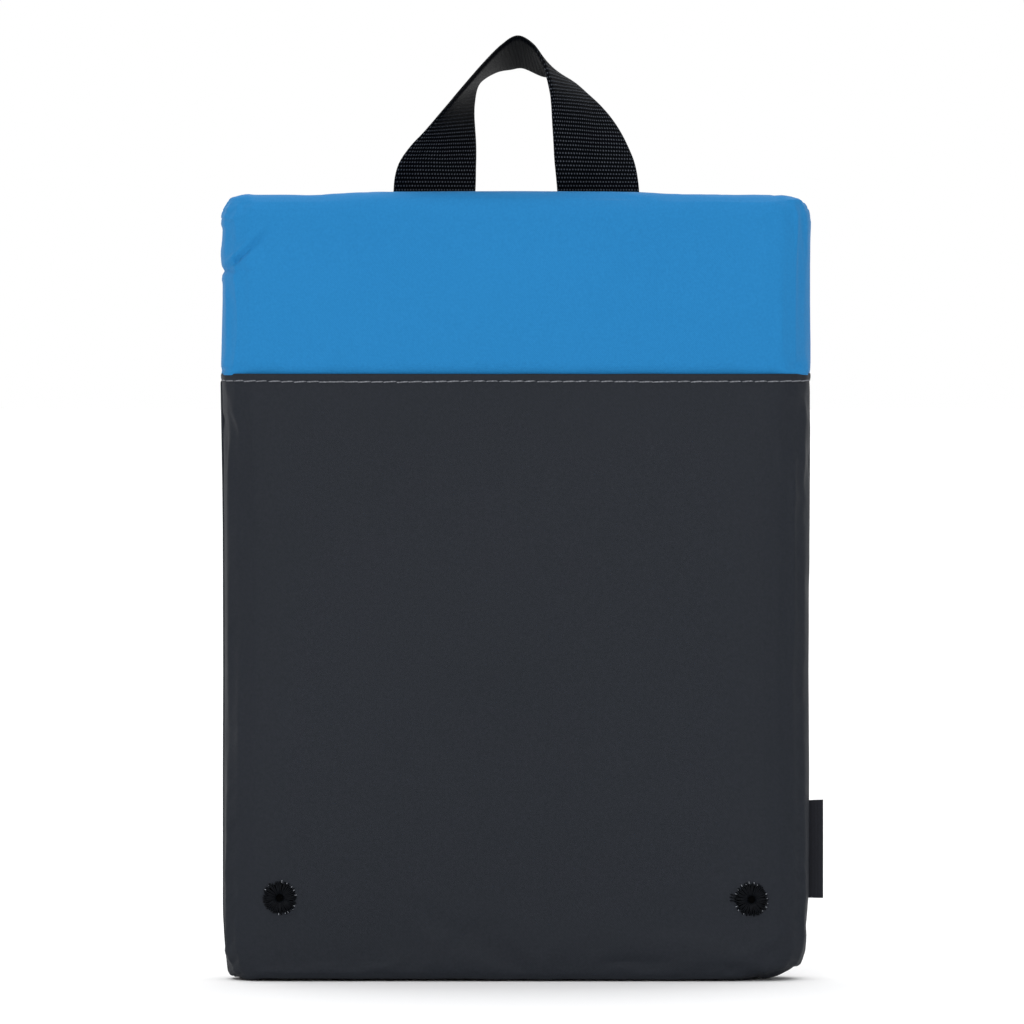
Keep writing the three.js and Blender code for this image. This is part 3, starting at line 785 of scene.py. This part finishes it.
def buildStitches():
    points, girth = evenLoop(mouth, 0.9 * mm)
    strand = archedStrand("stitchStrand", stitch["radius"], greyThread)
    count = round(girth / hem["stitchPitch"])
    made = []
    for n in range(count):
        place = (n + 0.5) / count * len(points)
        index = int(place)
        point = points[index].lerp(points[(index + 1) % len(points)], place - index)
        run = (points[(index + 3) % len(points)] - points[index - 3]).normalized()
        out = Vector((run.y, -run.x, 0)).normalized()
        slant = math.radians(stitch["slant"] * random.uniform(0.4, 1.6))
        rise = Vector((0, 0, 1))
        along = (run * math.cos(slant) + rise * math.sin(slant)).normalized()
        lift = stitch["waver"] * noise.noise(point * 45) - stitch["below"] + random.uniform(-0.05, 0.05) * mm
        span = stitch["span"] / (2 * mm) * random.uniform(0.9, 1.06)
        place = point + rise * lift - out * stitch["in"]
        made.append(placeCopy(strand, place, along, out, along.cross(out), (span, 1, stitch["rise"] / mm)))
    bpy.data.objects.remove(strand)
    piece = joinPieces("hemStitches", made)
    smoothShade(piece, 80)
    finishPiece(piece, [greyThread])
    return piece


mouthHem = buildHem()
hemStitches = buildStitches()
print("hem ready")


# The folded pack: two soft rolls of blue cloth

fold = {
    "grid": 2.35 * mm, "margin": 0.4 * mm, "corner": 4 * mm, "smooth": 2, "held": 184 * mm,
    "squeeze": 1 * mm, "between": -0.45 * mm, "touch": 0.12 * mm, "lean": 5 * mm,
    "front": {"margin": (0.05 * mm, 0), "drop": 0}, "rear": {"margin": (0.9 * mm, 0.9 * mm), "drop": 1.7 * mm},
}
foldCloth = {
    "growth": 0.015, "pressure": 0.4, "frames": 18, "quality": 5, "mass": 0.1, "bending": 0.03, "stiffness": 8.0,
    "unevenness": 0.2 * mm, "unevenScale": 90.0,
}
# outline of the folded pack from the front in mm: z, left, right
packOutline = [
    (174, 86.2, 86.2), (180, 86.4, 86.4), (182.8, 87.2, 87.2), (184.4, 89.6, 89.7), (187.7, 89.75, 89.9),
    (194, 89.6, 89.9), (200.5, 89.45, 89.8), (207, 89.3, 89.75), (211.5, 89.3, 89.75), (213.3, 89.55, 89.75),
    (214.9, 89.4, 89.75), (215.85, 88.7, 89.75),
    (216.9, 89.35, 89.75), (218, 89.7, 89.75), (220.5, 89.88, 89.8), (222.5, 89.8, 89.8), (226, 89.4, 89.85),
    (228.3, 89.3, 89.95), (230.4, 89.45, 89.95), (232.6, 89.8, 89.85), (234.7, 89.3, 89.5), (236.2, 88.35, 88.6),
]
# outline of the crown: x, z
crownOutline = [
    (-88.6, 236.3), (-87.5, 237.4), (-84.6, 238.8), (-81, 239.15), (-70, 239.2), (-62.5, 239.05), (-59, 239.2),
    (-55.4, 239.5), (-48, 239.9), (-40.7, 240.1), (0, 240.3), (32, 240.1), (39.5, 239.9), (45.6, 239.5),
    (51.7, 239.35), (60.8, 239.25), (67, 239.1), (73, 239.2), (79, 239.05), (82.2, 238.8), (85.2, 238.25),
    (87.2, 237.2), (88.4, 236.2),
]
# its two upper corners: x, z of the middle, then of the outline
packCorners = [
    ((-79, 228.5), [
        (-89.4, 228.5), (-89.75, 232), (-89.55, 233.3), (-89.15, 234.5), (-88.75, 235.35), (-88.15, 236.3),
        (-87.5, 237.3), (-86.8, 238.1), (-86.1, 238.5), (-84.6, 238.8), (-79, 239.1),
    ]),
    ((79, 228.5), [
        (89.9, 228.5), (89.85, 232), (89.65, 233.4), (89.3, 234.6), (88.75, 235.7), (88.1, 236.55), (87.2, 237.3),
        (86.2, 237.95), (84.8, 238.4), (82.6, 238.8), (79, 239),
    ]),
]
frontFolds = [
    (-85.6, 218.7, 7.5, 0.75, 42, -0.95, 0.75),
    (-78.8, 225.0, 6.5, 1.0, 41, -0.55, 0.65),
    (-86.8, 224.5, 6, 2.2, 98, -0.55, -0.3),
    (-83.6, 231, 6, 2.4, 60, -0.25, 0.4),
    (-87.4, 202, 12, 1.5, 90, -0.2, 0.3),
    (-84.5, 186.8, 2.4, 1.2, 8, -0.5, 0.2),
    (85, 187.2, 2.2, 1.2, -8, -0.5, 0.2),
    (80, 188.4, 4, 1.6, 62, -0.3, 0.5),
    (87.6, 228, 9, 0.8, 95, -0.35, 0.5),
    (40, 233, 26, 2.2, -2, 0.2, 0),
    (-30, 206, 34, 6, 8, -0.22, 0),
    (48, 212, 24, 5, -14, -0.22, 0),
]
rearFolds = [
    (-60, 222, 22, 1.3, -28, -0.8, 0.5),
    (40, 214, 26, 1.6, 16, -0.7, 0.5),
    (10, 196, 40, 2.2, -4, -0.5, 0.4),
    (84, 190, 4, 2, 40, -0.8, 0.4),
]


def foldReach(point):
    x, y, z = point
    show = softStep(170 * mm, 190 * mm, z)
    edge = softStep(60 * mm, 88 * mm, abs(x))
    crown = softStep(222 * mm, 238 * mm, z)
    return show * (0.25 + 0.45 * max(edge, 0.5 * crown)) * mm


def tuckIn(skin, facing):
    # inside the sleeve the roll is squeezed a little thinner, clear of the wall
    points = readPoints(skin)
    share = (1 - softStep(172 * mm, 183 * mm, points[:, 2])) * softStep(4 * mm, 10 * mm, points[:, 1] * facing)
    points[:, 1] -= facing * fold["squeeze"] * share
    writePoints(skin, points)


def leanTogether(skin, facing):
    # above the sleeve and beside the strap the two rolls lean on each other
    points = readPoints(skin)
    depth = (points[:, 1] - fold["between"]) * facing
    share = softStep(46 * mm, 58 * mm, np.abs(points[:, 0])) * softStep(182 * mm, 190 * mm, points[:, 2])
    face = np.percentile(depth[share > 0.9], 8)
    moved = depth - face * share * (1 - softStep(face, face + fold["lean"], depth))
    moved = np.where(share > 0, np.maximum(moved, np.minimum(depth, fold["touch"])), depth)
    points[:, 1] = fold["between"] + moved * facing
    writePoints(skin, points)


def buildFold(name, node, folds, facing):
    skin = clothSkin(name, [node], fold)
    relaxCloth(skin, foldCloth, lambda p: 1.0 if p[2] < fold["held"] else 0.0, foldReach)
    applyModifier(skin, "SUBSURF", levels=1, render_levels=1)
    if facing < 0:
        editParts(
            skin, "FACE",
            lambda centre, normal: centre.x < -68 * mm and 194 * mm < centre.z < 237 * mm and centre.y < 0,
            lambda: bpy.ops.mesh.subdivide(number_cuts=1, smoothness=0),
        )
    spec = fold["front" if facing < 0 else "rear"]
    fitSides(skin, packOutline, spec["margin"])
    fitCrown(skin, crownOutline, spec["drop"])
    for middle, outline in packCorners if facing < 0 else ():
        fitCorner(skin, middle, outline)
    tuckIn(skin, facing)
    leanTogether(skin, facing)
    pressFolds(skin, folds, facing)
    smoothShade(skin, 80)
    finishPiece(skin, [blueTaffeta], [node])


buildFold("frontFold", "front_fold", frontFolds, -1)
buildFold("rearFold", "rear_fold", rearFolds, 1)
print("folds ready")


# The haul loop: 25 mm webbing with half a turn

loop = {
    "width": 25 * mm, "thick": 1.5 * mm, "halfSpread": 37.7 * mm, "height": 47.4 * mm, "crown": 240.3 * mm,
    "tuck": 24 * mm, "grip": 6 * mm, "across": 26, "stepsPerRow": 14,
}
# x, rise: the strap's middle as shares of halfSpread and height; faceX, faceZ: what shows of its width
loopRows = [
    (-0.655, 0, -1, 0), (-0.637, 0.148, -0.96, 0.01), (-0.589, 0.278, -0.82, -0.01), (-0.523, 0.407, -0.59, -0.04),
    (-0.45, 0.544, -0.35, -0.05), (-0.367, 0.669, -0.21, -0.08), (-0.21, 0.789, -0.13, 0.11),
    (-0.072, 0.858, -0.11, 0.3), (0.042, 0.89, -0.08, 0.4), (0.18, 0.838, -0.14, 0.4), (0.272, 0.793, -0.22, 0.25),
    (0.356, 0.722, -0.33, 0.12), (0.434, 0.628, -0.48, 0.06), (0.506, 0.533, -0.66, 0.06),
    (0.564, 0.417, -0.81, 0.06), (0.611, 0.287, -0.92, 0.05), (0.646, 0.15, -0.99, 0.02), (0.668, 0, -1, 0),
]


# shallow creases pressed into the strap: the first two values are along it and across it from its middle, in mm
loopCreases = [
    (-44, -2, 9, 3.2, 38, 0.9, 0),
    (-52, 8, 8, 2.2, -12, -0.7, 0),
    (46, 6, 10, 4.5, 24, -1.2, 0),
    (34, -3, 12, 4, 30, 0.8, 0),
]


def spline(rows, place):
    # Catmull-Rom through rows of vectors
    index = min(int(place), len(rows) - 2)
    t = place - index
    a, b = rows[max(index - 1, 0)], rows[index]
    c, d = rows[index + 1], rows[min(index + 2, len(rows) - 1)]
    return 0.5 * ((2 * b) + (c - a) * t + (2 * a - 5 * b + 4 * c - d) * t * t + (3 * b - a - 3 * c + d) * t ** 3)


def buildLoop():
    first, last = loopRows[0], loopRows[-1]
    rows = [(*first, loop["tuck"]), (*first, loop["grip"]), *[(*row, 0) for row in loopRows]]
    rows += [(*last, loop["grip"]), (*last, loop["tuck"])]
    middles, widths = [], []
    for x, rise, faceX, faceZ, tuck in rows:
        middles.append(Vector((x * loop["halfSpread"], 0, loop["crown"] + rise * loop["height"] - tuck)))
        widths.append(Vector((faceX, -math.sqrt(max(0, 1 - faceX ** 2 - faceZ ** 2)), faceZ)))
    steps = (len(rows) - 1) * loop["stepsPerRow"]
    half, thin = loop["width"] / 2, loop["thick"] / 2
    shares = [-1 + 2 * j / loop["across"] for j in range(loop["across"] + 1)]
    section = [(share * half, -thin * (1 - abs(share) ** 14) ** 0.5) for share in shares]
    section += [(w, -n) for w, n in reversed(section[1:-1])]
    points, faces, uvs = [], [], []
    lengths = [0.0]
    for step in range(1, steps + 1):
        ends = [spline(middles, (len(rows) - 1) * n / steps) for n in (step - 1, step)]
        lengths.append(lengths[-1] + (ends[1] - ends[0]).length)
    for step in range(steps + 1):
        place = (len(rows) - 1) * step / steps
        middle = spline(middles, place)
        ahead = spline(middles, min(place + 0.02, len(rows) - 1)) - spline(middles, max(place - 0.02, 0))
        along = ahead.normalized()
        width = spline(widths, place).normalized()
        face = along.cross(width).normalized()
        travel = lengths[step] - lengths[-1] / 2
        show = softStep(loop["crown"] - 4 * mm, loop["crown"] + 8 * mm, middle.z)
        for w, n in section:
            press = show * sum(foldDepth(crease, travel, w) for crease in loopCreases)
            points.append(middle + width * w + face * (n + press))
            uvs.append((w + half, travel))
    size = len(section)
    for step in range(steps):
        for j in range(size):
            k = (j + 1) % size
            faces.append((step * size + j, step * size + k, (step + 1) * size + k, (step + 1) * size + j))
    faces.append(tuple(range(size))[::-1])
    faces.append(tuple(steps * size + j for j in range(size)))
    piece = newPiece("carryLoop", points, faces, uvs)
    smoothShade(piece, 50)
    finishPiece(piece, [blackWebbing], ["carry_loop"])


buildLoop()
print("haul loop ready")


# Stitched eyelets: black thread laid over the edge of the hole, all the way round

eyelet = {
    "hole": 1.45 * mm, "outer": 4.8 * mm, "threads": 44, "radius": 0.26 * mm, "rise": 1.0 * mm, "pad": 4.3 * mm,
    "back": 1.2 * mm, "lip": 0.8 * mm, "glintSize": (0.32 * mm, 0.15 * mm),
}
# where pale specks are laid at the rim as painted glints, in degrees, and where a loose end sticks out
eyeletMarks = {
    "eyeletLeft": {"glintAngles": (151, 133, 101, 84, 63, 40, 26, 9, -27, -40, -57, -71, -96), "ends": ()},
    "eyeletRight": {
        "glintAngles": (158, 142, 127, 113, 97, 82, 66, 21, 5, -13, -29, -45, 206, 221, 239), "ends": (166, 174, 183),
    },
}


def radialCopy(strand, middle, degrees, inner, outer, rise, width=1.0):
    # lays a copy of the strand from the inner to the outer radius, arched towards the front
    turn = math.radians(degrees)
    radial = Vector((math.cos(turn), 0, math.sin(turn)))
    out = Vector((0, -1, 0))
    centre = middle + radial * (inner + outer) / 2
    stretch = ((outer - inner) / (2 * mm), width, rise / mm)
    return placeCopy(strand, centre, radial, out, radial.cross(out), stretch)


def eyeletShadePad(middle):
    # black felt under the thread, with a blind hole in its middle: a near-black pad that paints the shade of the hole
    # and of the gaps between the threads
    bpy.ops.object.select_all(action="DESELECT")
    bpy.ops.mesh.primitive_cylinder_add(
        vertices=40, radius=eyelet["pad"], depth=0.7 * mm, location=middle, rotation=(math.pi / 2, 0, 0),
    )
    pad = bpy.context.object
    bpy.ops.object.transform_apply(location=True, rotation=True, scale=True)
    for towards, ring in ((-1, eyelet["hole"]), (1, eyelet["hole"] + eyelet["lip"])):
        editParts(
            pad, "FACE",
            lambda centre, normal: normal.y * towards > 0.9,
            lambda: (
                bpy.ops.mesh.inset(thickness=eyelet["pad"] - ring, depth=0),
                bpy.ops.mesh.extrude_region_move(TRANSFORM_OT_translate={"value": (0, eyelet["back"], 0)}),
            ),
        )
    pad.data.materials.append(holeShadeFelt)
    return pad


def buildEyelet(name, node, side):
    middle = eyeletPlace(side)
    black = archedStrand("blackStrand", eyelet["radius"], blackThread)
    pale = archedStrand("paleStrand", eyelet["glintSize"][1], paintedGlints)
    sunk = middle + Vector((0, 0.15 * mm, 0))
    made = [eyeletShadePad(middle)]
    for n in range(eyelet["threads"]):
        degrees = 360 * (n + random.uniform(-0.3, 0.3)) / eyelet["threads"]
        reach = eyelet["outer"] * random.uniform(0.93, 1.05)
        rise = eyelet["rise"] * random.uniform(0.85, 1.12)
        made.append(radialCopy(black, sunk, degrees, eyelet["hole"], reach, rise))
    for degrees in eyeletMarks[name]["ends"]:
        made.append(radialCopy(black, middle, degrees, 4.2 * mm, 6.4 * mm, 0.7 * mm, 0.7))
    # pale specks at the rim: painted glints
    for degrees in eyeletMarks[name]["glintAngles"]:
        start = eyelet["outer"] * random.uniform(0.93, 0.99)
        reach = start + eyelet["glintSize"][0] * random.uniform(1.2, 2.6)
        made.append(radialCopy(pale, middle, degrees + random.uniform(-3, 3), start, reach, 0.32 * mm, 0.75))
    for strand in (black, pale):
        bpy.data.objects.remove(strand)
    piece = joinPieces(name, made)
    smoothShade(piece, 60)
    finishPiece(piece, None, [node])


buildEyelet("eyeletLeft", "eyelet_left", -1)
buildEyelet("eyeletRight", "eyelet_right", 1)
print("eyelets ready")


# The folded woven tab in the right side seam

tab = {"low": 24.5 * mm, "height": 29.7 * mm, "seat": 87.2 * mm, "tip": 93.9 * mm, "ply": 0.45 * mm, "gap": 0.12 * mm}


def buildTab():
    bend = tab["ply"] / 2 + tab["gap"] / 2
    turnX = tab["tip"] - bend - tab["ply"] / 2
    path = [(lerp(tab["seat"], turnX, i / 8), -bend) for i in range(9)]
    path += [(turnX + bend * math.sin(math.pi * i / 6), -bend * math.cos(math.pi * i / 6)) for i in range(1, 6)]
    path += [(lerp(turnX, tab["seat"], i / 8), bend) for i in range(9)]
    rows = 30
    points, faces, uvs = [], [], []
    for row in range(rows + 1):
        share = row / rows
        z = tab["low"] + tab["height"] * share
        travel, was = 0.0, None
        for x, y in path:
            out = softStep(tab["seat"], tab["tip"], x)
            lean = 0.25 * mm * math.sin(share * 2.2) * out + 0.06 * mm * noise.noise(Vector((x, y, z)) * 300)
            droop = 0.35 * mm * out * (share - 0.3)
            here = Vector((x, y))
            travel += (here - was).length if was else 0
            was = here
            points.append(Vector((x, y - lean, z + droop)))
            uvs.append((z, travel))
    size = len(path)
    for row in range(rows):
        for j in range(size - 1):
            faces.append((row * size + j, row * size + j + 1, (row + 1) * size + j + 1, (row + 1) * size + j))
    piece = newPiece("sideLabel", points, faces, uvs)
    applyModifier(piece, "SOLIDIFY", thickness=tab["ply"], offset=0)
    applyModifier(piece, "BEVEL", width=0.08 * mm, segments=2, limit_method="ANGLE")
    smoothShade(piece, 50)
    finishPiece(piece, [labelTape], ["side_label"])


buildTab()
print("side label ready")

for name in ("front_layers", "rear_layers"):
    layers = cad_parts[name]
    layers.data.materials.clear()
    layers.data.materials.append(blueTaffeta)


# Camera, floor and light

camera = {"lens": 600, "elevation": 2.0, "sensor": 36}


def buildCamera():
    data = bpy.data.cameras.new("camera")
    data.lens = camera["lens"]
    data.sensor_width = camera["sensor"]
    item = bpy.data.objects.new("camera", data)
    bpy.context.scene.collection.objects.link(item)
    across = photo["size"] * photo["pixel"]
    middle = photo["size"] / 2
    target = Vector(((middle - photo["middleX"]) * photo["pixel"], 0, (photo["baseY"] - middle) * photo["pixel"]))
    distance = across * camera["lens"] / camera["sensor"]
    tilt = math.radians(camera["elevation"])
    item.location = target + Vector((0, -math.cos(tilt), math.sin(tilt))) * distance
    item.rotation_euler = (math.pi / 2 - tilt, 0, 0)
    data.clip_start, data.clip_end = 0.05, 20
    bpy.context.scene.camera = item


def buildFloor():
    bpy.ops.object.select_all(action="DESELECT")
    bpy.ops.mesh.primitive_plane_add(size=12, location=(0, 0, -0.0003))
    floor = bpy.context.object
    floor.name = "floor"
    # matte paper, lit until it shows white
    floor.data.materials.append(newMaterial("white paper sweep", {
        "Base Color": (0.92, 0.92, 0.92, 1), "Roughness": 0.9, "Specular IOR Level": 0.1,
    })[0])


def addSun(name, towards, spread, strength):
    # a wide soft light: the object and the whole floor get it alike
    data = bpy.data.lights.new(name, "SUN")
    data.angle = math.radians(spread)
    data.energy = strength
    item = bpy.data.objects.new(name, data)
    item.rotation_euler = Vector(towards).to_track_quat("Z", "Y").to_euler()
    bpy.context.scene.collection.objects.link(item)


def buildLight():
    world = bpy.data.worlds.new("studio")
    bpy.context.scene.world = world
    world.use_nodes = True
    tree = world.node_tree
    direction = addNode(tree, "TexCoord")
    parts = addNode(tree, "SeparateXYZ", links={"Vector": (direction, "Generated")})
    turned = addNode(tree, "Math", {"operation": "MULTIPLY_ADD"}, {0: (parts, "Y"), 1: 0.5, 2: 0.5})
    stops = [(0.25, (0.45, 0.45, 0.46, 1)), (0.58, (0.36, 0.36, 0.37, 1)), (0.82, (1, 1, 1, 1))]
    white = addNode(tree, "ValToRGB", {"stops": stops}, {"Fac": turned})  # dimmer behind the camera
    tree.links.new(white.outputs["Color"], tree.nodes["Background"].inputs["Color"])
    addSun("keyLight", (-0.12, -1, 0.3), 50, 1.42)
    addSun("topLight", (-0.05, 0.1, 1), 90, 2.1)
    bpy.context.scene.view_settings.view_transform = "Standard"


buildCamera()
buildFloor()
buildLight()
print("studio ready")
